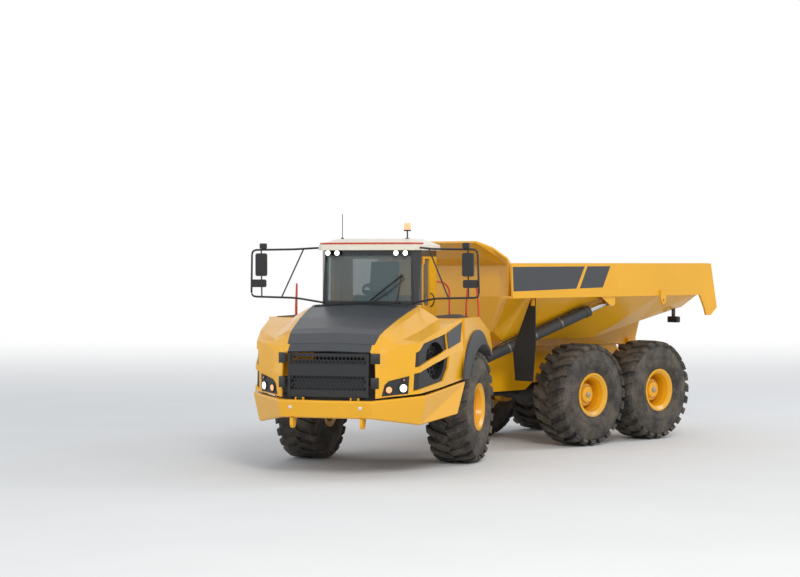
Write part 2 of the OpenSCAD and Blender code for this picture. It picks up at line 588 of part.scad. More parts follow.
// Hood: the left half's rows, from the grille back to the windscreen
// columns: middle, centre panel's edge, bevel, valley, shoulder, side, foot
hood_rows = [
    [[4352, 0, 1990], [4350, 690, 1970], [4352, 710, 1940], [4356, 735, 1880], [4362, 758, 1850],
        [4375, 770, 1600], [4390, 775, 1262]],
    [[4260, 0, 2100], [4250, 712, 2080], [4250, 760, 2068], [4254, 850, 2050], [4256, 945, 1990],
        [4264, 955, 1650], [4275, 955, 1285]],
    [[4080, 0, 2245], [4070, 740, 2220], [4080, 810, 2200], [4088, 980, 2120], [4085, 1170, 2085],
        [4090, 1185, 1700], [4095, 1190, 1305]],
    [[3905, 0, 2325], [3900, 762, 2290], [3905, 850, 2265], [3915, 1080, 2160], [3930, 1350, 2120],
        [3950, 1365, 1720], [3955, 1370, 1325]],
    [[3400, 0, 2485], [3400, 820, 2440], [3400, 920, 2410], [3400, 1180, 2260], [3400, 1490, 2265],
        [3400, 1520, 1800], [3400, 1505, 1375]],
    [[2900, 0, 2610], [2900, 868, 2560], [2900, 970, 2530], [2900, 1230, 2370], [2900, 1580, 2375],
        [2900, 1610, 1900], [2900, 1590, 1425]],
    [[2515, 0, 2690], [2515, 900, 2640], [2515, 1000, 2600], [2515, 1260, 2440], [2515, 1650, 2450],
        [2515, 1675, 1950], [2515, 1660, 1465]]];
function hood_full(r) = concat(r, [for (i = [len(r) - 1 : -1 : 1]) [r[i][0], -r[i][1], r[i][2]]]);
function whole_row(r) = concat([for (i = [len(r) - 1 : -1 : 1]) r[i]],
    [for (p = r) [p[0], -p[1], p[2]]]);
hood_pin = [2545, 2600];
// The dark nose and the painted side mouldings meet in a seam that runs back under the centre panel
hood_seam = 675;
module hood() color(charcoal) difference() {
    union() {
        intersection() {
            hood_skin();
            translate([0, seat_gap / 2 - hood_seam, 0]) cube([6000, 2 * hood_seam - seat_gap, 3000]);
        }
        both_sides() translate([hood_pin[0], 598, hood_pin[1]]) rotate([90, 0, 0])
            cylinder(d = 62, h = 38);
    }
    cross_bar(hood_pin[0], hood_pin[1], 20, 1300);
}
module hood_sides() color(yellow) intersection() {
    hood_skin();
    both_sides() translate([0, hood_seam + seat_gap / 2, 0]) cube([6000, 2000, 3000]);
}
module hood_skin() difference() {
    thick_sheet([for (r = hood_rows) whole_row(r)], panel_t);
    both_sides() {
        for (vent = [vent_upper, vent_lower]) side_plate(vent, 1100, 700);
        on_lamp() translate([0, 0, -200]) linear_extrude(400) polygon(lamp_outline);
    }
}
// Openings in the hood's side, in X and Z; a band of the skin runs between them
vent_upper = [[4005, 1723], [3980, 1955], [3820, 2095], [3513, 2157], [3116, 2231], [3087, 1982],
    [3678, 1828]];
vent_lower = [[4015, 1633], [3895, 1671], [3511, 1777], [3054, 1870], [3072, 1680], [3240, 1485],
    [3931, 1395], [4030, 1360]];

// The dark centre panel lies on the hood from its nose to the windscreen
module hood_centre() color(charcoal)
    thick_sheet([for (j = [1 : 6]) let (r = hood_rows[j])
        [for (p = [r[1], r[0], [r[1][0], -r[1][1], r[1][2]]])
        p + [0, 0, 14 + seat_gap]]], 14, [0, 0, -14]);

// Dark liners close the openings from inside, each with a fan in a round well
liner_gap = 0.6;
liner_t = 26;
well_depth = 110;
module on_vent() translate([3460, 1503, 1810]) rotate([0, 0, -13]) rotate([-90, 0, 0]) children();
module vent_liner(first) {
    g = [for (r = hood_rows) whole_row(r)];
    thick_sheet([for (k = [2 : 5]) [for (i = [first : first + 2])
        g[k][i] - (panel_t + liner_gap) * grid_normal(g, k, i)]], liner_t);
}
module hood_vents() color(charcoal) {
    difference() {
        union() {
            vent_liner(0);
            vent_liner(2 * len(hood_rows[0]) - 4);
            both_sides() on_vent() translate([0, 0, -58 - well_depth])
                cylinder(d = fan_d + 24, h = well_depth);
        }
        both_sides() {
            on_vent() translate([0, 0, -46 - well_depth]) cylinder(d = fan_d, h = 300);
            translate([4030, 0, 1000]) cube([400, 2000, 1500]);
        }
    }
    both_sides() on_vent() translate([0, 0, -47 - well_depth]) {
        cylinder(d = 150, h = 50);
        for (a = [0 : 40 : 320]) rotate([0, 0, a]) translate([60, -12, 0])
            cube([fan_d / 2 - 55, 24, 26]);
        for (d = [300, 450]) difference() {
            cylinder(d = d, h = 34);
            translate([0, 0, -1]) cylinder(d = d - 24, h = 40);
        }
    }
}

// Headlamps: a housing let into the hood's corner, with its round lamps
// columns of lamps: across, up, diameter
lamp_outline = [[-266, -134], [168, -102], [187, 172], [-152, 100], [-217, 40]];
lamps = [[-152, -36, 104], [84, -14, 120], [94, 112, 36]];
module on_lamp() translate([4180, 1070, 1430]) rotate([0, 0, 36.9]) rotate([90, 0, 90]) children();
module headlamps() color([0.9, 0.92, 0.95]) both_sides() on_lamp() {
    translate([0, 0, -36]) linear_extrude(44) polygon([for (p = lamp_outline) p * 0.998]);
    for (l = lamps) translate([l[0], l[1], 0]) difference() {
        cylinder(d = l[2] + 26, h = 26);
        translate([0, 0, 16]) cylinder(d = l[2], h = 20);
    }
}

// The grille panel leans back over the bumper; drawn from its hinge line at the bottom.
// Two broad bars stand before a honeycomb mesh
// columns of bars: foot, height, how far ahead of the mesh
grille_foot = [4424, 1250];
grille_y = 660;
grille_bars = [[26, 104, 34], [350, 180, 40], [664, 36, 20]];
mesh_wall = 10;
// A panel with as many whole cells as fit in it, each row half a cell beside the last
module honeycomb(width, height) difference() {
    translate([-width / 2, 0]) square([width, height]);
    cell = (mesh_pitch - mesh_wall) / cos(30);
    step = mesh_pitch * cos(30);
    columns = floor((width - mesh_wall) / mesh_pitch);
    rows = floor((height - cell - mesh_wall) / step) + 1;
    for (k = [0 : rows - 1], i = [0 : columns - 1 - k % 2])
        translate([(i - (columns - 1 - k % 2) / 2) * mesh_pitch,
            height / 2 + (k - (rows - 1) / 2) * step])
            rotate(30) circle(d = cell, $fn = 6);
}
module grille() color(charcoal) difference() {
    translate([grille_foot[0], 0, grille_foot[1]]) {
        rotate([0, -3, 0]) {
            for (b = grille_bars) translate([-60, -grille_y, b[0]]) cube([b[2], 2 * grille_y, b[1]]);
            both_sides() translate([-60, grille_y - 40, 26]) cube([40, 40, 674]);
            for (k = [0, 1]) {
                low = grille_bars[k][0] + grille_bars[k][1] - 10;
                translate([-56, 0, low]) rotate([90, 0, 90]) linear_extrude(10)
                    honeycomb(2 * grille_y - 60, grille_bars[k + 1][0] + 10 - low);
            }
        }
        both_sides() {
            translate([0, 495, 0]) rotate([90, 0, 0]) cylinder(d = 36, h = 90);
            translate([-50, 405, 0]) cube([50, 90, 34]);
        }
    }
    cross_bar(grille_foot[0], grille_foot[1], 20, 1200);
}
module radiator() color(charcoal) translate([4215, -600, 1200 + seat_gap]) cube([85, 1200, 640]);

// Cab plan at height z, counter-clockwise from the left of the windscreen; grow moves it outwards
function cab_plan(z, grow) =
    let (f = (z - 2700) / 750, x = cab_front_x + grow, y = cab_y + grow, q = 800 - 40 * f + grow)
    [for (p = [[x + 80, 320], [x, q], [x - 190, y], [cab_rear_x - grow, y],
               [cab_rear_x - grow, -y], [x - 190, -y], [x, -q], [x + 80, -320]]) [p[0], p[1], z]];
module cab_block(grow, z0, z1) stacked_loft([for (z = [z0, z1]) cab_plan(z, grow)]);
module window_cuts(grow) {
    translate([2080, -740 - grow, 2720 - grow]) cube([500, 1480 + 2 * grow, 760 + 2 * grow]);
    translate([cab_rear_x - 100, -620 - grow, 2800 - grow])
        cube([250, 1240 + 2 * grow, 620 + 2 * grow]);
    translate([side_x0 - grow, -cab_y - 100, 2720 - grow])
        cube([side_x1 - side_x0 + 2 * grow, 250, 720 + 2 * grow]);
}
side_x0 = 1740;
side_x1 = 2060;
door_x0 = cab_rear_x + 290;
door_x1 = 2100;
door_z0 = deck_z + 60;
module door_cut(grow) translate([door_x0 - grow, cab_y - cab_wall - 60, door_z0 - grow])
    cube([door_x1 - door_x0 + 2 * grow, 200, 1120 + 2 * grow]);
module cab_walls() difference() {
    cab_block(0, cab_floor_z, cab_top_z);
    cab_block(-cab_wall, cab_floor_z + 60, cab_top_z + 10);
}
module cab_shell() color(yellow) {
    difference() {
        cab_walls();
        window_cuts(0);
        door_cut(run_gap);
    }
    for (z = door_hinges) {
        for (e = [-65, 50]) translate([hinge_pin[0] - 8, cab_y - 20, z + e]) cube([34, 28, 15]);
        translate([hinge_pin[0], hinge_pin[1], z - 60]) cylinder(d = 15.4, h = 120);
        for (e = [-65, 50]) translate([hinge_pin[0], hinge_pin[1], z + e]) cylinder(d = 26, h = 15);
    }
}
module door_window() translate([side_x0 - 60, cab_y - 200, 2640])
    cube([side_x1 - side_x0 + 60, 400, 780]);
hinge_pin = [door_x1 + 20, cab_y + 17];
door_hinges = [2620, 3380];
module cab_door() color(charcoal) difference() {
    union() {
        difference() {
            intersection() {
                cab_walls();
                door_cut(0);
            }
            door_window();
        }
        for (z = door_hinges) {
            translate([hinge_pin[0], hinge_pin[1], z - 45]) cylinder(d = 26, h = 90);
            translate([door_x1 - 30, cab_y - 1, z - 45]) cube([30, 28, 90]);
            translate([door_x1 - 5, cab_y + 1, z - 45]) cube([hinge_pin[0] - door_x1 + 5, 26, 90]);
        }
    }
    translate([hinge_pin[0], hinge_pin[1], 2400]) cylinder(d = 16, h = 1200);
}
module door_glass() color([0.5, 0.6, 0.65, 0.4])
    translate([side_x0 - 60 + seat_gap, cab_y - 35, 2640 + seat_gap])
        cube([side_x1 - side_x0 + 60 - 2 * seat_gap, glass_t, 780 - 2 * seat_gap]);
module cab_glass() color([0.5, 0.6, 0.65, 0.4]) intersection() {
    difference() {
        cab_block(-20, 2500, 3540);
        cab_block(-20 - glass_t, 2400, 3600);
    }
    window_cuts(-seat_gap);
}
module cab_roof() color([0.9, 0.9, 0.88]) stacked_loft([cab_plan(cab_top_z + seat_gap, 60),
    cab_plan(cab_top_z + 90, 50), cab_plan(cab_top_z + 190, -180)]);

// Seat with its back, console and steering wheel
seat_x = cab_rear_x + 200;
floor_in = cab_floor_z + cab_wall + seat_gap;
module cab_interior() color(charcoal) {
    translate([seat_x, -190, floor_in]) cube([340, 380, 330]);
    side_plate([[seat_x - 20, floor_in + 300], [seat_x - 20, floor_in + 440],
        [seat_x + 470, floor_in + 470],
        [seat_x + 500, floor_in + 430], [seat_x + 480, floor_in + 320]], -260, 520);
    side_plate([[seat_x - 20, floor_in + 400], [seat_x - 110, floor_in + 1120],
        [seat_x - 30, floor_in + 1130], [seat_x + 90, floor_in + 420]], -240, 480);
    side_plate([[2130, floor_in], [2090, floor_in + 360], [2040, floor_in + 520],
        [2120, floor_in + 560], [2250, floor_in + 480], [2250, floor_in]], -300, 600);
    translate([2060, 0, floor_in + 520]) rotate([0, -35, 0]) {
        cylinder(d = 60, h = 150);
        translate([0, 0, 130]) difference() {
            cylinder(d = 440, h = 30);
            for (a = [0 : 120 : 240]) rotate([0, 0, a + 60]) translate([0, 0, -1]) linear_extrude(40)
                polygon([[40, 12], [40, -12], [170, -78], [188, 0], [170, 78]]);
        }
    }
}

// Work lamps under the roof's front edge, the beacon on its stalk and the aerial
roof_z = cab_top_z + 190 + seat_gap;
module roof_lamps() color([0.9, 0.92, 0.95]) {
    both_sides() for (y = [510, 670]) translate([cab_front_x + 56, y, cab_top_z - 47])
        rotate([0, 90, 0]) {
        cylinder(d = 70, h = 30);
        translate([0, 0, 20]) cylinder(d = 94, h = 36);
    }
    translate([1960, 560, roof_z]) {
        cylinder(d = 70, h = 16);
        cylinder(d = 24, h = 130);
        translate([0, 0, 128]) cylinder(d = 120, h = 24);
        translate([0, 0, 150]) cylinder(d1 = 104, d2 = 84, h = 90);
    }
    translate([1900, -600, roof_z]) {
        cylinder(d = 50, h = 24);
        cylinder(d = 12, h = 420);
    }
}

// Mirrors on a tube frame at each front corner of the cab, with a strut and a small box on top
module mirrors() color(charcoal) both_sides() {
    bent_tube([[2309, 888.4, 3600], [2600, 1200, 3575], [2640, 1940, 3565], [2620, 1960, 2790],
        [2560, 1200, 2770], [2360, 769.5, 2690]], 34, 80);
    bent_tube([[2488, 1080, 3585], [2579, 1440, 2776]], 24);
    bent_tube([[2631, 1780, 3567], [2606, 1780, 2785]], 24);
    mirror_box(1685, 3130, 190, 380, 22);
    mirror_box(1700, 2945, 240, 130, 18);
    mirror_box(1690, 3585, 110, 90, 12);
}
module mirror_box(y, z, w, h, edge) translate([2596, 0, 0]) rotate([90, 0, 90]) linear_extrude(62)
    polygon([[y + edge, z], [y + w - edge, z], [y + w, z + edge], [y + w, z + h - edge],
        [y + w - edge, z + h], [y + edge, z + h], [y, z + h - edge], [y, z + edge]]);

// Red rails: a hoop over the ladder's side of the deck, one behind the cab, and one along the roof's edge
module handrails() color(rail_red) {
    deck_top = deck_z + 12 + 2 * seat_gap;
    both_sides() {
        bent_tube([[1690, 1500, deck_top], [1690, 1500, deck_z + 150], [1640, 1515, deck_z + 540],
            [1400, 1600, deck_z + 540], [1372, 1630, deck_z + 150], [1372, 1630, deck_z - 62]],
            34, 100);
        bent_tube([[cab_rear_x - seat_gap, 800, 3040], [1150, 800, 3040], [860, 900, 3010],
            [780, 960, 2900], [780, 960, deck_top]], 34, 100);
    }
    bent_tube([for (i = [2, 1, 0, 7, 6, 5]) cab_plan(cab_top_z + 114.2, 30)[i]], 26, 4);
}

rear_unit() rear_frame();
rear_unit() bogie_beams();
rear_unit() bogie_axles();
rear_unit() driveshaft();
rear_unit() hitch();
rear_unit() dump_body();
rear_unit() side_eyes();
rear_unit() splash_flaps();
rear_unit() on_hoist(1) hoist_barrel();  // hoist_barrel_left
rear_unit() on_hoist(-1) hoist_barrel();  // hoist_barrel_right
rear_unit() on_hoist(1) hoist_rod();  // hoist_rod_left
rear_unit() on_hoist(-1) hoist_rod();  // hoist_rod_right
rear_unit() on_steer(1) steer_barrel();  // steer_barrel_left
rear_unit() on_steer(-1) steer_barrel();  // steer_barrel_right
rear_unit() on_steer(1) steer_rod(1);  // steer_rod_left
rear_unit() on_steer(-1) steer_rod(-1);  // steer_rod_right
front_unit() front_frame();
front_unit() front_axle();
front_unit() engine();
front_unit() bumper();
front_unit() tow_lugs();
front_unit() wings();
front_unit() arch_flares();
front_unit() steps();
front_unit() hood();
front_unit() hood_sides();
front_unit() hood_centre();
front_unit() hood_vents();
front_unit() headlamps();
front_unit() grille();
front_unit() radiator();
front_unit() cab_shell();
front_unit() cab_roof();
front_unit() cab_glass();
front_unit() cab_door();
front_unit() door_glass();
front_unit() cab_interior();
front_unit() roof_lamps();
front_unit() mirrors();
front_unit() handrails();
front_unit() wheel_at(hinge_to_front_axle, 1) tyre();  // tyre_front_left
front_unit() wheel_at(hinge_to_front_axle, -1) tyre();  // tyre_front_right
rear_unit() wheel_at(-hinge_to_bogie, 1) tyre();  // tyre_mid_left
rear_unit() wheel_at(-hinge_to_bogie, -1) tyre();  // tyre_mid_right
rear_unit() wheel_at(-hinge_to_bogie - bogie_spread, 1)  // tyre_rear_left
    tyre();
rear_unit()  // tyre_rear_right
    wheel_at(-hinge_to_bogie - bogie_spread, -1) tyre();
front_unit() wheel_at(hinge_to_front_axle, 1) rim();  // rim_front_left
front_unit() wheel_at(hinge_to_front_axle, -1) rim();  // rim_front_right
rear_unit() wheel_at(-hinge_to_bogie, 1) rim();  // rim_mid_left
rear_unit() wheel_at(-hinge_to_bogie, -1) rim();  // rim_mid_right
rear_unit() wheel_at(-hinge_to_bogie - bogie_spread, 1)  // rim_rear_left
    rim();
rear_unit() wheel_at(-hinge_to_bogie - bogie_spread, -1)  // rim_rear_right
    rim();
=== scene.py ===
import json
import math
from functools import cached_property

import bpy
from bpy.props import FloatProperty, FloatVectorProperty, IntProperty, PointerProperty
from mathutils import Matrix, Vector

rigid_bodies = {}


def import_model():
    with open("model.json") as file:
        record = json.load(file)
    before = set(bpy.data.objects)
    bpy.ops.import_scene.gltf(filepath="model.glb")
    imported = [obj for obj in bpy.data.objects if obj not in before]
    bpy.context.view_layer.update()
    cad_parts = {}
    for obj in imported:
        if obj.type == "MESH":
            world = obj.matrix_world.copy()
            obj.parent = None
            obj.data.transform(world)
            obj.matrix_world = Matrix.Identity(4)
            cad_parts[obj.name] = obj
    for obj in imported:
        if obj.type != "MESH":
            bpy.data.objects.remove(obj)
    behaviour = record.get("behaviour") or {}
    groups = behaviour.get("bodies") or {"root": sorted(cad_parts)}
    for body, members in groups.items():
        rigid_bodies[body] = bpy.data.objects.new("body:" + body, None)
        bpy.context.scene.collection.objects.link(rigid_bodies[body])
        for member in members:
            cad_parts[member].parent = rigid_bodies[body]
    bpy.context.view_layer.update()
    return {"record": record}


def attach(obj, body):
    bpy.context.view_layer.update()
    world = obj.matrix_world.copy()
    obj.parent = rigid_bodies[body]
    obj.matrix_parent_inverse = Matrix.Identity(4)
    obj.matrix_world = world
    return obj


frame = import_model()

bl_info = {
    "name": "Articulated Dump Truck Looks",
    "version": (1, 1, 0),
    "blender": (4, 5, 0),
    "location": "3D View > Sidebar > Hauler",
    "description": "Dresses an articulated dump truck with its finishes and small pieces",
    "category": "Object",
}

# Places taken from the frame. The front unit is turned about its steering pin, so its pieces are
# modelled straight, with the pin at the origin, and then set in place by FRONT. Pieces of the rear
# unit and of the dump body are modelled about the same pin and set in place by REAR.
JOINTS = {joint["name"]: joint for joint in frame["record"]["behaviour"]["joints"]}
PIN = Vector(JOINTS["steering"]["pos_m"]).xy.to_3d()
AXLE = Vector(JOINTS["spin_front_left"]["axis"])
STEER = math.atan2(-AXLE.x, AXLE.y)
FRONT = Matrix.Translation(PIN) @ Matrix.Rotation(STEER, 4, "Z")
REAR = Matrix.Translation(PIN)
WHEELS = [f"{row}_{side}" for row in ("front", "mid", "rear") for side in ("left", "right")]

# Turns that point a piece modelled along Z ahead or astern
AHEAD = Matrix.Rotation(math.radians(90), 4, "Y")
ASTERN = Matrix.Rotation(math.radians(-90), 4, "Y")


# Shader maths


class Value:
    """A socket of a shader, on which Python's arithmetic adds Math nodes."""

    def __init__(self, shader, socket):
        self.shader = shader
        self.socket = socket

    def math(self, operation, *values, clamp=False):
        """A Math node of this operation on these values."""
        return self.shader.node(
            "ShaderNodeMath", {"operation": operation, "use_clamp": clamp}, *values
        )

    def __add__(self, other):
        return self.math("ADD", self, other)

    def __sub__(self, other):
        return self.math("SUBTRACT", self, other)

    def __rsub__(self, other):
        return self.math("SUBTRACT", other, self)

    def __mul__(self, other):
        return self.math("MULTIPLY", self, other)

    __radd__ = __add__
    __rmul__ = __mul__

    def clamped(self):
        """Held between 0 and 1."""
        return self.math("MULTIPLY", self, 1.0, clamp=True)

    def fade(self, low, high):
        """0 below low, 1 above high, smooth in between; low may be the larger."""
        return self.shader.node(
            "ShaderNodeMapRange", {"interpolation_type": "SMOOTHSTEP"}, self, low, high, 0.0, 1.0
        )


class Shader:
    """The nodes of a material or of the world, with the shader that they feed at hand."""

    def __init__(self, owner):
        owner.use_nodes = True
        self.owner = owner
        self.tree = owner.node_tree
        nodes = self.tree.nodes
        self.surface = nodes.get("Principled BSDF") or nodes["Background"]
        self.output = nodes.get("Material Output") or nodes["World Output"]

    @cached_property
    def place(self):
        """Object coordinates, which are the frame's own metres on every piece."""
        return self.node("ShaderNodeTexCoord", {}, out="Object")

    @cached_property
    def axes(self):
        """The place's x, y and z, each as a Value."""
        parts = self.node("ShaderNodeSeparateXYZ", {}, self.place)
        return [Value(self, socket) for socket in parts.socket.node.outputs]

    @cached_property
    def seen(self):
        """1 for what the camera, gloss and glass see, 0 for the light on the object."""
        rays = self.node("ShaderNodeLightPath", {}, out="Is Camera Ray")
        outputs = rays.socket.node.outputs
        for name in ("Is Glossy Ray", "Is Transmission Ray"):
            rays = rays.math("MAXIMUM", rays, Value(self, outputs[name]))
        return rays

    def feed(self, socket, value):
        """Links a socket to a Value, or sets it to a number, a vector or a colour."""
        if isinstance(value, Value):
            self.tree.links.new(value.socket, socket)
        elif socket.type == "RGBA" and len(value) == 3:
            socket.default_value = (*value, 1.0)
        else:
            socket.default_value = value

    def node(self, kind, settings, *values, out=0, **named):
        """Any node: its settings first, then its sockets in order or by name; out is its output."""
        new = self.tree.nodes.new(kind)
        for key, setting in settings.items():
            setattr(new, key, setting)
        for index, value in enumerate(values):
            self.feed(new.inputs[index], value)
        for name, value in named.items():
            self.feed(new.inputs[name.replace("_", " ")], value)
        return Value(self, new.outputs[out])

    def noise(self, scale, detail=4.0, roughness=0.55, squeeze=None):
        """Cloudy noise from 0 to 1; squeeze scales the place along each axis first."""
        place = self.place
        if squeeze:
            place = self.node("ShaderNodeMapping", {}, place, Scale=squeeze)
        return self.node(
            "ShaderNodeTexNoise", {}, Vector=place, Scale=scale, Detail=detail, Roughness=roughness
        )

    def blend(self, factor, below, above):
        """A colour between two, by a factor from 0 to 1."""
        new = self.tree.nodes.new("ShaderNodeMix")
        new.data_type = "RGBA"
        factor_socket, below_socket, above_socket = (new.inputs[index] for index in (0, 6, 7))
        self.feed(factor_socket, factor)
        self.feed(below_socket, below)
        self.feed(above_socket, above)
        return Value(self, new.outputs[2])

    def ahead(self):
        """How far a point of the front unit lies ahead of the steering pin, in metres."""
        x, y, _ = self.axes
        return (x - PIN.x) * math.cos(STEER) + (y - PIN.y) * math.sin(STEER)

    def shine(self, surface):
        """Makes a shader the one that the material or the world shows."""
        self.feed(self.output.inputs["Surface"], surface)

    def finish(self, colour, roughness=0.5, metallic=0.0, height=None, depth=0.001, **fixed):
        """Links what varies and sets what is even all over on the Principled shader."""
        inputs = self.surface.inputs
        self.feed(inputs["Base Color"], colour)
        self.feed(inputs["Roughness"], roughness)
        self.feed(inputs["Metallic"], metallic)
        if height is not None:
            bump = self.node(
                "ShaderNodeBump", {}, Strength=1.0, Distance=depth, Height=height, out="Normal"
            )
            self.feed(inputs["Normal"], bump)
        for name, value in fixed.items():
            self.feed(inputs[name.replace("_", " ")], value)
        return self.owner


def new_shader(name):
    """The shader of a new material."""
    return Shader(bpy.data.materials.new(name))


def linear(red, green, blue):
    """A colour as it looks on a screen, 0 to 255, in the shader's linear scale."""
    return tuple(
        (c / 255 / 12.92) if c <= 10 else ((c / 255 + 0.055) / 1.055) ** 2.4
        for c in (red, green, blue)
    )


# Finishes

DUST = linear(158, 142, 120)
MUD = linear(104, 88, 70)
WHITE = (1.0, 1.0, 1.0)


def grime(shader, dust=1.0, top=1.4):
    """How dusty a point is, from 0 to 1: blotches and specks that gather below a height."""
    blotch = shader.noise(scale=1.7, detail=6.0, roughness=0.62)
    speck = shader.noise(scale=42.0, detail=3.0, roughness=0.7)
    low = shader.axes[2].fade(top, 0.25)
    return ((blotch * 0.8 + speck * 0.45 + low * 0.5).fade(0.86, 1.3) * dust).clamped()


def paint(name, colour, gloss=0.3, dust=0.7, top=1.4, soil=DUST):
    """Machine paint under a clear coat: faint tone changes, streaks and dust that gathers low."""
    shader = new_shader(name)
    tone = shader.noise(scale=0.9, detail=3.0, roughness=0.5).fade(0.3, 0.7)
    shade = shader.blend(tone * 0.35, colour, tuple(c * 0.84 for c in colour))
    dirt = grime(shader, dust, top)
    upright = shader.noise(scale=5.0, detail=4.0, roughness=0.6, squeeze=(1.0, 1.0, 0.12))
    streak = upright.fade(0.62, 0.78) * 0.25
    dirty = shader.blend((dirt * 0.6 + streak * dust).clamped(), shade, soil)
    rough = (dirt * 0.45 + streak * 0.4 + gloss).clamped()
    ripple = shader.noise(scale=9.0, detail=2.0, roughness=0.5)
    return shader.finish(
        dirty, rough, height=ripple, depth=0.0012, Coat_Weight=0.3, Coat_Roughness=0.15
    )


def dull(name, colour, rough=0.6, dust=0.7, top=1.4):
    """Moulded plastic, rubber or grey machine paint with a fine grain."""
    shader = new_shader(name)
    dirt = grime(shader, dust, top)
    shade = shader.blend(dirt * 0.75, colour, DUST)
    grain = shader.noise(scale=320.0, detail=2.0, roughness=0.6)
    return shader.finish(shade, (dirt * 0.3 + rough).clamped(), height=grain, depth=0.0004)


def cab_paint(name, colour, black):
    """The cab's shell: black round the windscreen, machine paint behind its front corners."""
    corner, sill, eave = 2.15, 2.655, 3.455
    shader = new_shader(name)
    z = shader.axes[2]
    dirt = grime(shader, dust=0.45)
    behind = shader.ahead().fade(corner + 0.01, corner - 0.01)
    above = z.fade(eave + 0.005, eave - 0.005)
    below = z.fade(sill + 0.005, sill - 0.005)
    shade = shader.blend((behind * above + below).clamped(), black, colour)
    return shader.finish(
        shader.blend(dirt * 0.5, shade, DUST), (dirt * 0.4 + 0.3).clamped(),
        height=shader.noise(scale=9.0, detail=2.0), Coat_Weight=0.25, Coat_Roughness=0.15,
    )


def tyre_rubber(name):
    """Worn black rubber with dry mud in the grooves and dust on the walls."""
    shader = new_shader(name)
    blotch = shader.noise(scale=3.2, detail=6.0, roughness=0.65)
    speck = shader.noise(scale=70.0, detail=4.0, roughness=0.75)
    mud = (blotch * 0.75 + speck * 0.6).fade(0.54, 0.86)
    shade = shader.blend(mud * 0.85, linear(40, 39, 38), linear(116, 106, 94))
    crumb = shader.noise(scale=46.0, detail=5.0, roughness=0.7)
    return shader.finish(shade, (mud * 0.2 + 0.72).clamped(), height=crumb, depth=0.006)


def anti_slip(name, colour):
    """Raised dots on a dark, muddy deck."""
    shader = new_shader(name)
    cells = shader.node(
        "ShaderNodeTexVoronoi", {}, Vector=shader.place, Scale=38.0, Randomness=0.15
    )
    dot = cells.fade(0.38, 0.2)
    dirt = grime(shader, dust=0.8, top=3.2)
    deck = shader.blend(dot * 0.5, colour, linear(96, 92, 88))
    return shader.finish(
        shader.blend(dirt * 0.55, deck, MUD), (0.85 - dot * 0.25).clamped(),
        height=dot, depth=0.004,
    )


def glass(name):
    """Tinted glass that lets the cab's inside show, with faint smears."""
    shader = new_shader(name)
    smear = shader.noise(scale=3.0, detail=5.0, roughness=0.65).fade(0.5, 0.8)
    return shader.finish((0.16, 0.22, 0.23), smear * 0.12 + 0.03, Alpha=0.42, IOR=1.45)


def lens(name, colour, strength):
    """A lamp's ribbed lens, lit where strength is above nothing."""
    shader = new_shader(name)
    ribs = shader.node(
        "ShaderNodeTexWave", {"bands_direction": "Z"}, Vector=shader.place, Scale=60.0
    )
    shade = shader.blend(ribs * 0.3, colour, WHITE)
    return shader.finish(
        shade, 0.1, height=ribs, depth=0.0006, Coat_Weight=0.6,
        Emission_Strength=strength, Emission_Color=shade,
    )


def steel(name, colour, rough=0.18, streak=0.2):
    """Bare or chromed steel with streaks that change its shine."""
    shader = new_shader(name)
    streaks = shader.noise(scale=14.0, detail=3.0, roughness=0.6, squeeze=(1.0, 1.0, 6.0))
    return shader.finish(colour, streaks.fade(0.3, 0.8) * streak + rough, 1.0)


def trim_plastic():
    """The black plastic that the small trim shares."""
    name = "Trim plastic"
    return bpy.data.materials.get(name) or dull(name, linear(30, 31, 33), rough=0.5, dust=0.3)


def panel_charcoal():
    """The charcoal that the side trim and the rail panels share."""
    name = "Rail panel charcoal"
    colour = tuple(bpy.context.scene.hauler_finishes.charcoal)
    return bpy.data.materials.get(name) or dull(name, colour, rough=0.45, dust=0.3, top=3.2)


def mirror_glass():
    """The bright glass of the mirrors and of the bumper's reflectors."""
    name = "Mirror glass"
    silver = (0.85, 0.87, 0.88)
    return bpy.data.materials.get(name) or steel(name, silver, rough=0.04, streak=0.05)


# Modelling tools


def alone(*pieces):
    """Selects these pieces and nothing else, and makes the first the active one."""
    bpy.ops.object.select_all(action="DESELECT")
    for piece in pieces:
        piece.select_set(True)
    if pieces:
        bpy.context.view_layer.objects.active = pieces[0]


def settle(piece, matrix=None):
    """Sets a piece in place and leaves its object at the origin, unturned and unscaled."""
    alone(piece)
    if matrix is not None:
        piece.matrix_world = matrix @ piece.matrix_world
    bpy.ops.object.transform_apply(location=True, rotation=True, scale=True)
    return piece


def edit(piece, *steps):
    """Runs edit-mode operators, each a function, on a piece."""
    alone(piece)
    bpy.ops.object.mode_set(mode="EDIT")
    for step in steps:
        step()
    bpy.ops.object.mode_set(mode="OBJECT")
    return piece


def select_where(test):
    """Selects the faces whose centre and normal pass a test, in edit mode."""
    bpy.ops.mesh.select_all(action="DESELECT")
    bpy.ops.object.mode_set(mode="OBJECT")
    for face in bpy.context.object.data.polygons:
        face.select = bool(test(face.center, face.normal))
    bpy.ops.object.mode_set(mode="EDIT")


def face_out():
    """Merges doubled points and turns every face outwards, in edit mode."""
    bpy.ops.mesh.select_all(action="SELECT")
    bpy.ops.mesh.remove_doubles(threshold=0.00001)
    bpy.ops.mesh.normals_make_consistent(inside=False)


def block(size, centre=(0.0, 0.0, 0.0), bevel=0.004, turn=0.0):
    """A box with rounded edges, turned about Z."""
    alone()
    bpy.ops.mesh.primitive_cube_add(size=1.0)
    piece = bpy.context.object
    piece.scale = size
    settle(piece)

    def soften():
        bpy.ops.mesh.select_all(action="SELECT")
        bpy.ops.mesh.bevel(offset=bevel, segments=2, affect="EDGES")

    edit(piece, soften)
    return settle(piece, Matrix.Translation(centre) @ Matrix.Rotation(turn, 4, "Z"))


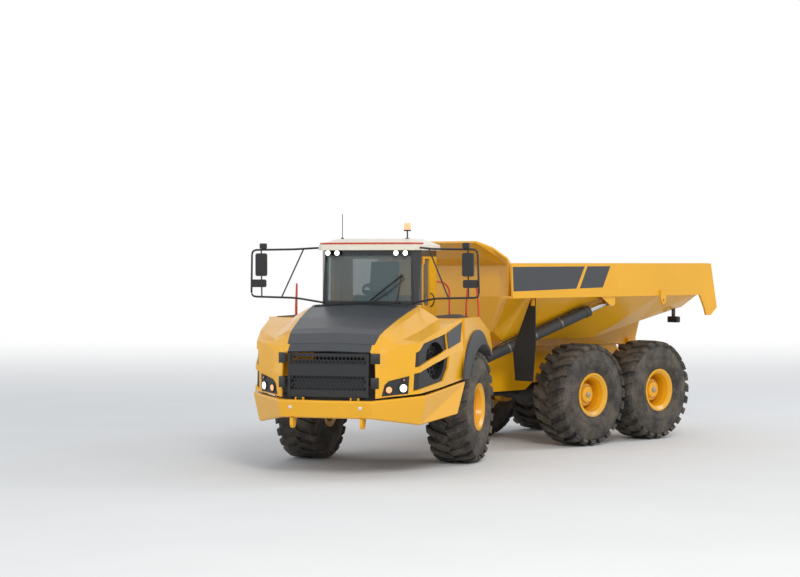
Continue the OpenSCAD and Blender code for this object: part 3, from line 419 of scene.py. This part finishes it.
def stud(radius, height, sides=6, step=0.3):
    """A bolt head or cap along Z: its end is inset by a share of its radius and drawn out."""
    alone()
    bpy.ops.mesh.primitive_cylinder_add(
        vertices=sides, radius=radius, depth=height, location=(0.0, 0.0, height / 2)
    )
    piece = settle(bpy.context.object)

    def crown():
        select_where(lambda centre, normal: normal.z > 0.9)
        bpy.ops.mesh.inset(thickness=radius * step)
        bpy.ops.transform.translate(value=(0.0, 0.0, height * 0.35))

    return edit(piece, crown)


def dome(radius, height, steps=24):
    """A lens along Z: half a sphere, flattened to its height."""
    alone()
    bpy.ops.mesh.primitive_uv_sphere_add(segments=steps * 2, ring_count=steps, radius=radius)
    piece = bpy.context.object

    def halve():
        bpy.ops.mesh.select_all(action="SELECT")
        bpy.ops.mesh.bisect(
            plane_co=(0.0, 0.0, 0.0), plane_no=(0.0, 0.0, -1.0), clear_outer=True, use_fill=True
        )

    edit(piece, halve)
    piece.scale.z = height / radius
    return settle(piece)


def hoop(radius, width, height):
    """A raised band about Z, rounded in its section, of this width across and height along Z."""
    alone()
    bpy.ops.mesh.primitive_torus_add(
        major_radius=radius, minor_radius=width / 2, major_segments=96, minor_segments=8
    )
    piece = bpy.context.object
    piece.scale.z = height / width
    return settle(piece)


def sheet(corners, thickness):
    """A thin panel with four given corners, drawn out along its own normal."""
    alone()
    bpy.ops.mesh.primitive_plane_add(size=2.0)
    piece = bpy.context.object
    first, second, third, fourth = (Vector(corner) for corner in corners)
    middle = (first + second + third + fourth) / 4
    out = (second - first).cross(fourth - first).normalized()

    def shape():
        for index, corner in enumerate((first, second, fourth, third)):
            bpy.ops.mesh.select_all(action="DESELECT")
            bpy.ops.object.mode_set(mode="OBJECT")
            point = piece.data.vertices[index]
            point.select = True
            step = corner - middle - point.co
            bpy.ops.object.mode_set(mode="EDIT")
            bpy.ops.transform.translate(value=step)
        bpy.ops.mesh.select_all(action="SELECT")
        bpy.ops.mesh.extrude_region_move(TRANSFORM_OT_translate={"value": out * thickness})

    edit(piece, shape, face_out)
    return settle(piece, Matrix.Translation(middle))


def tube(points, radius):
    """A round tube or hose through points, with soft bends."""
    alone()
    bpy.ops.curve.primitive_bezier_curve_add()
    line = bpy.context.object
    spline = line.data.splines[0]
    spline.bezier_points.add(len(points) - 2)
    for knot, point in zip(spline.bezier_points, points):
        knot.co = point
        knot.handle_left_type = knot.handle_right_type = "AUTO"
    line.data.bevel_depth = radius
    line.data.bevel_resolution = 4
    line.data.use_fill_caps = True
    bpy.ops.object.convert(target="MESH")
    return settle(bpy.context.object)


def join(*pieces):
    """Makes one object of several pieces."""
    alone(*pieces)
    if len(pieces) > 1:
        bpy.ops.object.join()
    return pieces[0]


def copy_of(piece):
    """A second piece like the first, with its own mesh."""
    alone(piece)
    bpy.ops.object.duplicate()
    return bpy.context.object


def repeat(piece, places):
    """Sets a piece in the first place and a copy of it in each of the others."""
    pieces = [piece, *(copy_of(piece) for _ in places[1:])]
    return [settle(one, place) for one, place in zip(pieces, places)]


def both(piece):
    """A piece and its copy across the machine's middle, in the unit that it is modelled in."""
    copy = copy_of(piece)
    copy.scale = (1.0, -1.0, 1.0)
    return [piece, edit(settle(copy), face_out)]


def finish(name, pieces, material, body, place=None):
    """Joins like pieces into one, dresses it and lets it ride on its body."""
    whole = settle(join(*pieces), place)
    whole.name = whole.data.name = name
    bpy.ops.object.shade_smooth_by_angle(angle=math.radians(35))
    whole.data.materials.clear()
    whole.data.materials.append(material)
    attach(whole, body)


def dress(material, *nodes):
    """Gives CAD nodes a finish."""
    for piece in bpy.data.objects:
        if piece.type == "MESH" and piece.name.split(".")[0] in nodes:
            piece.data.materials.clear()
            piece.data.materials.append(material)


# Settings that a user would change


class HaulerFinishes(bpy.types.PropertyGroup):
    """Colours and lamps of the machine"""

    paint: FloatVectorProperty(
        name="Paint", description="Colour of the machine's paint",
        subtype="COLOR", default=linear(244, 178, 20),
    )
    charcoal: FloatVectorProperty(
        name="Charcoal", description="Colour of the dark panels",
        subtype="COLOR", default=linear(62, 65, 70),
    )
    roof: FloatVectorProperty(
        name="Roof", description="Colour of the cab's roof",
        subtype="COLOR", default=linear(238, 230, 212),
    )
    rails: FloatVectorProperty(
        name="Handrails", description="Colour of the handrails",
        subtype="COLOR", default=linear(214, 62, 30),
    )
    lamps: FloatProperty(
        name="Lamps", description="How brightly the lit lamps shine",
        default=2.2, min=0.0, max=20.0,
    )


class HaulerSizes(bpy.types.PropertyGroup):
    """Sizes and counts of the small pieces"""

    nuts: IntProperty(
        name="Wheel nuts", description="Nuts round each wheel's rim flange", default=20, min=3
    )
    nut: FloatProperty(
        name="Wheel nut", description="Radius and height of a wheel nut",
        default=0.017, min=0.005, unit="LENGTH",
    )
    hub_bolts: IntProperty(
        name="Hub bolts", description="Bolts on each wheel's hub", default=12, min=3
    )
    hub_bolt: FloatProperty(
        name="Hub bolt", description="Radius and height of a hub bolt",
        default=0.012, min=0.004, unit="LENGTH",
    )
    louvre_gap: FloatProperty(
        name="Louvre gap", description="From one louvre of the hood to the next",
        default=0.043, min=0.025, unit="LENGTH",
    )
    hose: FloatProperty(
        name="Hose", description="Radius of a hoist cylinder's hose",
        default=0.012, min=0.005, unit="LENGTH",
    )


class HaulerStage(bpy.types.PropertyGroup):
    """The camera and the studio's lights"""

    camera: FloatVectorProperty(
        name="Camera", description="Where the camera stands",
        subtype="TRANSLATION", unit="LENGTH", default=(24.175, 22.714, 3.351),
    )
    turn: FloatProperty(
        name="Turn", description="How far round from straight astern the camera looks",
        unit="ROTATION", default=math.radians(45.87),
    )
    dip: FloatProperty(
        name="Dip", description="How far the camera looks down",
        unit="ROTATION", default=math.radians(0.7956),
    )
    focal_length: FloatProperty(
        name="Focal length", description="Focal length of the camera", unit="CAMERA", default=83.2
    )
    key: FloatProperty(
        name="Key light", description="Power of the light from the front left",
        unit="POWER", default=3500.0, min=0.0,
    )
    fill: FloatProperty(
        name="Fill light", description="Power of the light from the front right",
        unit="POWER", default=750.0, min=0.0,
    )
    back: FloatProperty(
        name="Back light", description="Power of the light from behind",
        unit="POWER", default=1200.0, min=0.0,
    )


# Operators, one for each group of like pieces and one for the stage


class HAULER_OT_finishes(bpy.types.Operator):
    """Gives every carried-over node its finish"""

    bl_idname = "hauler.finishes"
    bl_label = "Finishes"

    def execute(self, context):
        own = context.scene.hauler_finishes
        yellow = tuple(own.paint)
        dress(
            paint("Machine paint", yellow), "rear_frame", "bogie_beams", "side_eyes", "bumper",
            "wings", "hood_sides", *(f"rim_{wheel}" for wheel in WHEELS),
        )
        dress(paint("Body paint", yellow, gloss=0.34, dust=0.85, top=2.75, soil=MUD), "dump_body")
        dress(cab_paint("Cab paint", yellow, linear(30, 31, 33)), "cab_shell", "cab_door")
        dress(
            dull("Charcoal panels", tuple(own.charcoal), rough=0.36, dust=0.35),
            "hood", "hood_centre", "arch_flares",
        )
        dress(
            dull("Black plastic", linear(34, 35, 37), rough=0.5, dust=0.35),
            "hood_vents", "grille", "mirrors", "headlamps", "cab_interior", "roof_lamps",
        )
        dress(anti_slip("Anti-slip deck", linear(62, 60, 60)), "steps")
        dress(
            dull("Grey chassis paint", linear(56, 58, 60)), "bogie_axles", "driveshaft", "hitch",
            "front_frame", "front_axle", "engine", "radiator", "hoist_barrel_left",
            "hoist_barrel_right", "steer_barrel_left", "steer_barrel_right",
        )
        dress(paint("Lug paint", yellow, gloss=0.35, dust=0.9), "tow_lugs")
        dress(tyre_rubber("Tyre rubber"), *(f"tyre_{wheel}" for wheel in WHEELS))
        dress(dull("Flap rubber", linear(34, 33, 32), rough=0.8), "splash_flaps")
        dress(
            steel("Chromed rod", (0.62, 0.62, 0.63)),
            "hoist_rod_left", "hoist_rod_right", "steer_rod_left", "steer_rod_right",
        )
        dress(glass("Cab glass"), "cab_glass", "door_glass")
        cream = paint("Cream roof paint", tuple(own.roof), gloss=0.35, dust=0.35, top=3.9)
        dress(cream, "cab_roof")
        orange = paint("Orange rail paint", tuple(own.rails), gloss=0.4, dust=0.3, top=2.8)
        dress(orange, "handrails")
        return {"FINISHED"}


class HAULER_OT_wheel_studs(bpy.types.Operator):
    """Adds the nuts, hub bolts, hub cap and sidewall ribs to the six wheels"""

    bl_idname = "hauler.wheel_studs"
    bl_label = "Wheel studs"

    def wheel_frame(self, wheel):
        """Where a wheel is modelled: about Z, with its outer face up."""
        joint = JOINTS[f"spin_{wheel}"]
        out = Vector(joint["axis"]) * (1 if wheel.endswith("left") else -1)
        turn = out.to_track_quat("Z", "X").to_matrix().to_4x4()
        return Matrix.Translation(joint["pos_m"]) @ turn

    def circle(self, piece, count, radius, height):
        """Sets a piece and its copies round a circle about Z."""
        spot = Matrix.Translation((radius, 0.0, height))
        turns = (Matrix.Rotation(math.tau * k / count, 4, "Z") for k in range(count))
        return repeat(piece, [turn @ spot for turn in turns])

    def execute(self, context):
        own = context.scene.hauler_sizes
        # Heights of the faces that the small pieces sit on, out from the wheel's middle
        flange, hub, hub_end, wall = 0.001, 0.149, 0.201, 0.3735
        nuts = self.circle(stud(own.nut, own.nut), own.nuts, radius=0.232, height=flange)
        bolts = self.circle(
            stud(own.hub_bolt, own.hub_bolt), own.hub_bolts, radius=0.174, height=hub
        )
        cap = settle(stud(0.05, 0.02, sides=12), Matrix.Translation((0.0, 0.0, hub_end)))
        ribs = [
            settle(hoop(radius, width=0.022, height=0.012), Matrix.Translation((0.0, 0.0, wall)))
            for radius in (0.545, 0.635)
        ]

        metal = steel("Wheel nut steel", (0.42, 0.40, 0.37), rough=0.35)
        rubber = tyre_rubber("Rib rubber")
        places = [self.wheel_frame(wheel) for wheel in WHEELS]
        studs = repeat(join(*nuts, *bolts, cap), places)
        for wheel, stud_ring, rib_pair in zip(WHEELS, studs, repeat(join(*ribs), places)):
            body = f"wheel_{wheel}"
            finish(f"wheel_studs_{wheel}", [stud_ring], metal, body)
            finish(f"sidewall_ribs_{wheel}", [rib_pair], rubber, body)
        return {"FINISHED"}


class HAULER_OT_lamps(bpy.types.Operator):
    """Adds the lenses of the headlamps, work lamps, beacon and rear lamps"""

    bl_idname = "hauler.lamps"
    bl_label = "Lamps"

    def execute(self, context):
        strength = context.scene.hauler_finishes.lamps
        white = lens("White lens", (1.0, 0.97, 0.9), strength)
        amber = lens("Amber lens", (1.0, 0.26, 0.02), strength * 0.35)
        red = lens("Red lens", (0.6, 0.02, 0.02), 0.2)

        # The lamp panel stands across the nose's corner: x runs along it, y up and z out of it
        angle = math.radians(36.9)
        along = Vector((-math.sin(angle), math.cos(angle), 0.0))
        up = Vector((0.0, 0.0, 1.0))
        panel = Matrix((along, up, along.cross(up))).transposed().to_4x4()
        panel.translation = (4.18, 1.07, 1.43)
        proud = 0.016
        for name, across, rise, radius, material in (
            ("headlamp_lenses", 0.084, -0.014, 0.059, white),
            ("turn_lamp_lenses", -0.152, -0.036, 0.051, amber),
            ("marker_lenses", 0.094, 0.112, 0.017, red),
        ):
            spot = panel @ Matrix.Translation((across, rise, proud))
            lamp = settle(dome(radius, height=0.018), spot)
            finish(name, both(lamp), material, "hood", FRONT)

        work = repeat(
            dome(0.042, height=0.012),
            [Matrix.Translation((2.4515, y, 3.513)) @ AHEAD for y in (0.51, 0.67)],
        )
        finish("work_lamp_lenses", both(join(*work)), white, "front_unit", FRONT)

        beacon_foot = Matrix.Translation((1.96, 0.56, 3.9))
        beacon = settle(stud(0.056, 0.084, sides=32, step=0.2), beacon_foot)
        finish("beacon_dome", [beacon], amber, "front_unit", FRONT)

        rear = repeat(
            dome(0.045, height=0.014),
            [Matrix.Translation((-6.269, y, 2.24)) @ ASTERN for y in (1.04, 1.16)],
        )
        finish("rear_lamp_lenses", both(join(*rear)), red, "dump_body", REAR)
        return {"FINISHED"}


class HAULER_OT_hood_trim(bpy.types.Operator):
    """Adds the louvres, the grille's tabs and the dark side panels of the hood"""

    bl_idname = "hauler.hood_trim"
    bl_label = "Hood trim"

    def execute(self, context):
        # The louvres lie across the hood's rear edge, which falls to both sides, and get shorter
        gap, each_side = context.scene.hauler_sizes.louvre_gap, 19
        edge_x, edge_z, fall = 2.62, 2.6875, 0.0556
        length, taper = 0.17, 0.06
        slope = Matrix.Rotation(0.205, 4, "Y")
        louvres = []
        for k in range(-each_side, each_side + 1):
            y = k * gap
            rib = block((length - abs(y) * taper, 0.017, 0.02), bevel=0.005)
            spot = Matrix.Translation((edge_x, y, edge_z - abs(y) * fall))
            louvres.append(settle(rib, spot @ slope))
        finish("hood_louvres", louvres, trim_plastic(), "hood", FRONT)

        tabs = join(
            block((0.036, 0.15, 0.165), (4.352, 0.758, 1.872), bevel=0.012, turn=0.42),
            block((0.036, 0.13, 0.175), (4.377, 0.757, 1.496), bevel=0.012, turn=0.42),
        )
        finish("grille_tabs", both(tabs), trim_plastic(), "hood", FRONT)

        # Its corners on the hood's side, from the low front one round; its back is let in 4 mm
        corners = (
            (3.087, 1.5835, 1.982), (2.636, 1.6555, 2.079), (2.535, 1.655, 2.395),
            (3.11, 1.566, 2.231),
        )
        panel = sheet(corners, -0.004)
        finish(
            "side_trim_panels", both(panel), panel_charcoal(), "hood", FRONT
        )
        return {"FINISHED"}


class HAULER_OT_rail_panels(bpy.types.Operator):
    """Adds the two dark panels on each of the dump body's side rails"""

    bl_idname = "hauler.rail_panels"
    bl_label = "Rail panels"

    def execute(self, context):
        rail_face = 1.6905
        long_panel = ((-0.90, 2.85), (-0.875, 3.28), (-2.813, 3.287), (-2.579, 2.885))
        short_panel = ((-2.673, 2.887), (-2.886, 3.287), (-3.54, 3.29), (-3.323, 2.90))
        panels = [
            sheet([(x, rail_face, z) for x, z in corners], 0.003)
            for corners in (long_panel, short_panel)
        ]
        finish(
            "rail_panels", both(join(*panels)), panel_charcoal(), "dump_body",
            REAR,
        )
        return {"FINISHED"}


class HAULER_OT_mirror_faces(bpy.types.Operator):
    """Adds the glass of the mirrors and the bumper's reflectors"""

    bl_idname = "hauler.mirror_faces"
    bl_label = "Mirror faces"

    def execute(self, context):
        # The glass faces astern, towards the driver
        glass_x = 2.5945
        faces = join(
            block((0.006, 0.162, 0.345), (glass_x, 1.78, 3.32), bevel=0.002),
            block((0.006, 0.212, 0.104), (glass_x, 1.82, 3.01), bevel=0.002),
        )
        finish("mirror_faces", both(faces), mirror_glass(), "front_unit", FRONT)
        reflector = block((0.008, 0.05, 0.05), (4.5235, 0.57, 1.12), bevel=0.002)
        finish(
            "bumper_reflectors", both(reflector), mirror_glass(), "front_unit",
            FRONT,
        )
        return {"FINISHED"}


class HAULER_OT_brackets(bpy.types.Operator):
    """Adds the rear lamps' brackets and the splash flaps' bolted plates"""

    bl_idname = "hauler.brackets"
    bl_label = "Brackets"

    def execute(self, context):
        lamp_bracket = join(
            block((0.11, 0.012, 0.26), (-6.2, 1.1, 2.37)),
            block((0.12, 0.24, 0.12), (-6.21, 1.1, 2.24), bevel=0.02),
        )
        finish(
            "rear_lamp_brackets", both(lamp_bracket), trim_plastic(), "dump_body",
            REAR,
        )

        x, y, z = -1.4935, 1.607, 2.665
        thick, bolt_gap = 0.012, 0.05
        plate = block((thick, 0.085, 0.15), (x, y, z), bevel=0.003)
        face = Matrix.Translation((x + thick / 2, y, z)) @ AHEAD
        bolts = repeat(
            stud(0.009, 0.008),
            [face @ Matrix.Translation((step * bolt_gap, 0.0, 0.0)) for step in (-1, 0, 1)],
        )
        colour = tuple(context.scene.hauler_finishes.paint)
        yellow = paint("Trim paint", colour, gloss=0.32, dust=0.4)
        finish(
            "flap_brackets", both(join(plate, *bolts)), yellow, "dump_body", REAR
        )
        return {"FINISHED"}


class HAULER_OT_wiper(bpy.types.Operator):
    """Adds the wiper, its blade and the door's handle"""

    bl_idname = "hauler.wiper"
    bl_label = "Wiper and handle"

    def execute(self, context):
        black = dull("Wiper black", linear(18, 18, 19), rough=0.45, dust=0.2)
        arm = tube(((2.435, 0.52, 2.70), (2.432, 0.56, 2.90), (2.418, 0.585, 3.11)), 0.008)
        blade = tube(((2.412, 0.60, 3.15), (2.428, 0.33, 2.94), (2.432, 0.06, 2.735)), 0.011)
        stay = tube(((2.425, 0.66, 3.10), (2.436, 0.40, 2.89), (2.438, 0.13, 2.72)), 0.007)
        head = block((0.03, 0.05, 0.06), (2.42, 0.60, 3.13), bevel=0.01)
        pivot = block((0.05, 0.09, 0.05), (2.435, 0.52, 2.69), bevel=0.014)
        parts = [arm, blade, stay, head, pivot]
        finish("wiper", parts, black, "front_unit", FRONT)
        handle = tube(
            ((1.64, 0.868, 2.62), (1.64, 0.905, 2.64), (1.64, 0.905, 2.82), (1.64, 0.868, 2.84)),
            0.011,
        )
        finish("door_handle", [handle], black, "door", FRONT)
        return {"FINISHED"}


class HAULER_OT_hoses(bpy.types.Operator):
    """Adds the hose and its clips along each hoist cylinder"""

    bl_idname = "hauler.hoses"
    bl_label = "Hoist hoses"

    def execute(self, context):
        foot, eye = Vector((-0.9, 0.8, 1.58)), Vector((-3.64, 1.55, 2.63))
        along = (eye - foot).normalized()
        up = (Vector((0.0, 0.0, 1.0)) - along * along.z).normalized()

        # How far along the cylinder and how far off its axis the hose runs
        route = (
            (0.36, 0.09), (0.5, 0.115), (1.2, 0.117), (1.9, 0.117), (2.38, 0.117), (2.44, 0.09)
        )
        hoses = both(
            tube(
                [foot + along * reach + up * rise for reach, rise in route],
                context.scene.hauler_sizes.hose,
            )
        )
        turn = along.to_track_quat("Z", "Y").to_matrix().to_4x4()
        band = settle(hoop(0.096, width=0.008, height=0.03), turn)
        clip = join(band, block((0.036, 0.036, 0.022), up * 0.106))
        clips = repeat(
            clip, [Matrix.Translation(foot + along * reach) for reach in (0.7, 1.3, 1.9)]
        )

        rubber = dull("Hose rubber", linear(20, 20, 20), rough=0.6, dust=0.3)
        metal = steel("Clip steel", (0.2, 0.2, 0.2), rough=0.4)
        for side, hose, ring in zip(("left", "right"), hoses, both(join(*clips))):
            body = f"hoist_barrel_{side}"
            finish(f"hoist_hose_{side}", [hose], rubber, body, REAR)
            finish(f"hoist_clips_{side}", [ring], metal, body, REAR)
        return {"FINISHED"}


class HAULER_OT_stage(bpy.types.Operator):
    """Builds the pale floor, the soft lights and the camera"""

    bl_idname = "hauler.stage"
    bl_label = "Stage"

    def floor(self, look):
        """A pale floor that takes the shadow and turns white far off along the camera's look."""
        alone()
        bpy.ops.mesh.primitive_plane_add(size=400.0, location=(0.0, 0.0, 0.0))
        floor = bpy.context.object
        floor.name = "Floor"
        shader = new_shader("Pale floor")
        x, y, _ = shader.axes
        tone = shader.noise(scale=0.5, detail=3.0, roughness=0.5).fade(0.3, 0.7)
        shade = shader.blend(tone * 0.3, (0.84, 0.84, 0.83), (0.78, 0.78, 0.77))
        shader.finish(shade, 0.9)
        near, horizon = 2.0, 48.0
        far = (x * look.x + y * look.y).fade(near, horizon)
        bright = shader.node("ShaderNodeEmission", {}, WHITE, 1.0)
        lit = Value(shader, shader.surface.outputs[0])
        shader.shine(shader.node("ShaderNodeMixShader", {}, far * shader.seen, lit, bright))
        floor.data.materials.append(shader.owner)

    def room(self, scene):
        """A soft sky for light, and plain white for what is seen."""
        scene.world = bpy.data.worlds.new("Soft room")
        shader = Shader(scene.world)
        shader.feed(shader.surface.inputs["Color"], (0.88, 0.93, 1.0))
        shader.feed(shader.surface.inputs["Strength"], 0.62)
        sky = Value(shader, shader.surface.outputs[0])
        white = shader.node("ShaderNodeBackground", {}, WHITE, 1.0)
        shader.shine(shader.node("ShaderNodeMixShader", {}, shader.seen, sky, white))

    def light(self, name, place, size, power, colour):
        """A soft square light that points at the middle of the machine."""
        bpy.ops.object.light_add(type="AREA", location=place)
        light = bpy.context.object
        light.name = name
        light.data.size = size
        light.data.energy = power
        light.data.color = colour
        aim = Vector((0.0, 0.0, 1.5)) - Vector(place)
        light.rotation_euler = aim.to_track_quat("-Z", "Y").to_euler()

    def execute(self, context):
        own = context.scene.hauler_stage
        level = Vector((-math.cos(own.turn), -math.sin(own.turn), 0.0))
        self.floor(level)
        self.room(context.scene)
        self.light("Key light", (16.0, 22.0, 18.0), 8.0, own.key, (1.0, 0.96, 0.90))
        self.light("Fill light", (22.0, -16.0, 8.0), 12.0, own.fill, (0.90, 0.95, 1.0))
        self.light("Back light", (-18.0, 10.0, 14.0), 10.0, own.back, WHITE)

        bpy.ops.object.camera_add(location=tuple(own.camera))
        camera = context.object
        camera.name = "Camera"
        camera.data.sensor_width = 36.0
        camera.data.lens = own.focal_length
        camera.data.clip_end = 500.0
        look = level * math.cos(own.dip) - Vector((0.0, 0.0, math.sin(own.dip)))
        camera.rotation_euler = look.to_track_quat("-Z", "Y").to_euler()
        context.scene.camera = camera
        context.scene.view_settings.view_transform = "Standard"
        return {"FINISHED"}


OPERATORS = (
    HAULER_OT_finishes, HAULER_OT_wheel_studs, HAULER_OT_lamps, HAULER_OT_hood_trim,
    HAULER_OT_rail_panels, HAULER_OT_mirror_faces, HAULER_OT_brackets, HAULER_OT_wiper,
    HAULER_OT_hoses, HAULER_OT_stage,
)
SETTINGS = {
    "hauler_finishes": HaulerFinishes, "hauler_sizes": HaulerSizes, "hauler_stage": HaulerStage
}


class HAULER_PT_sidebar(bpy.types.Panel):
    """Lists the settings and the operators in the 3D view's sidebar"""

    bl_idname = "HAULER_PT_sidebar"
    bl_label = "Hauler"
    bl_space_type = "VIEW_3D"
    bl_region_type = "UI"
    bl_category = "Hauler"

    def draw(self, context):
        for group, settings in SETTINGS.items():
            box = self.layout.box()
            for name in settings.__annotations__:
                box.prop(getattr(context.scene, group), name)
        for operator in OPERATORS:
            self.layout.operator(operator.bl_idname)


CLASSES = (*SETTINGS.values(), *OPERATORS, HAULER_PT_sidebar)


def register():
    """Registers the classes and hangs the settings on the scene."""
    for item in CLASSES:
        bpy.utils.register_class(item)
    for group, settings in SETTINGS.items():
        setattr(bpy.types.Scene, group, PointerProperty(type=settings))


def unregister():
    """Takes the settings and the classes away again."""
    for group in SETTINGS:
        delattr(bpy.types.Scene, group)
    for item in reversed(CLASSES):
        bpy.utils.unregister_class(item)


def main():
    """Builds every piece in order."""
    register()
    bpy.ops.hauler.finishes()
    bpy.ops.hauler.wheel_studs()
    bpy.ops.hauler.lamps()
    bpy.ops.hauler.hood_trim()
    bpy.ops.hauler.rail_panels()
    bpy.ops.hauler.mirror_faces()
    bpy.ops.hauler.brackets()
    bpy.ops.hauler.wiper()
    bpy.ops.hauler.hoses()
    bpy.ops.hauler.stage()


if __name__ == "__main__":
    main()
